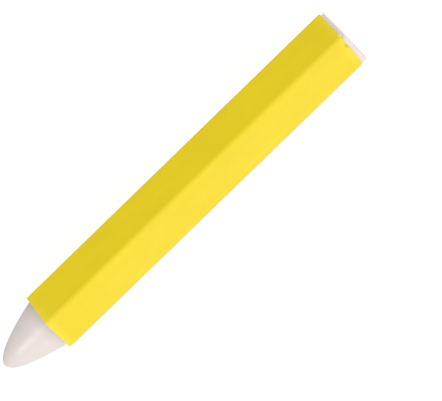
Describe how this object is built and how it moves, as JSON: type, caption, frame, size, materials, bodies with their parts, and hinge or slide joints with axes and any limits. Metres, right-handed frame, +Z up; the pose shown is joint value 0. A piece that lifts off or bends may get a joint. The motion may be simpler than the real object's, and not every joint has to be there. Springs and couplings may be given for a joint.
{
  "type": "tire marking crayon",
  "caption": "Hexagonal stick of pale marking wax with a round pointed tip, wrapped in a plain yellow paper sleeve, lying on one flat.",
  "frame": {"origin": "on the surface that the crayon lies on, under the middle of its length and width", "axes": "+X runs along the crayon to its tip, +Z is up from the flat that it lies on, and +Y is on the side of the lapped seam"},
  "size_m": [0.1, 0.0156, 0.0137],
  "materials": {
    "wax": "satin",
    "sleeve_paper": "satin"
  },
  "bodies": {
    "root": {"wax_stick": "wax", "paper_sleeve": "sleeve_paper"}
  },
  "joints": []
}
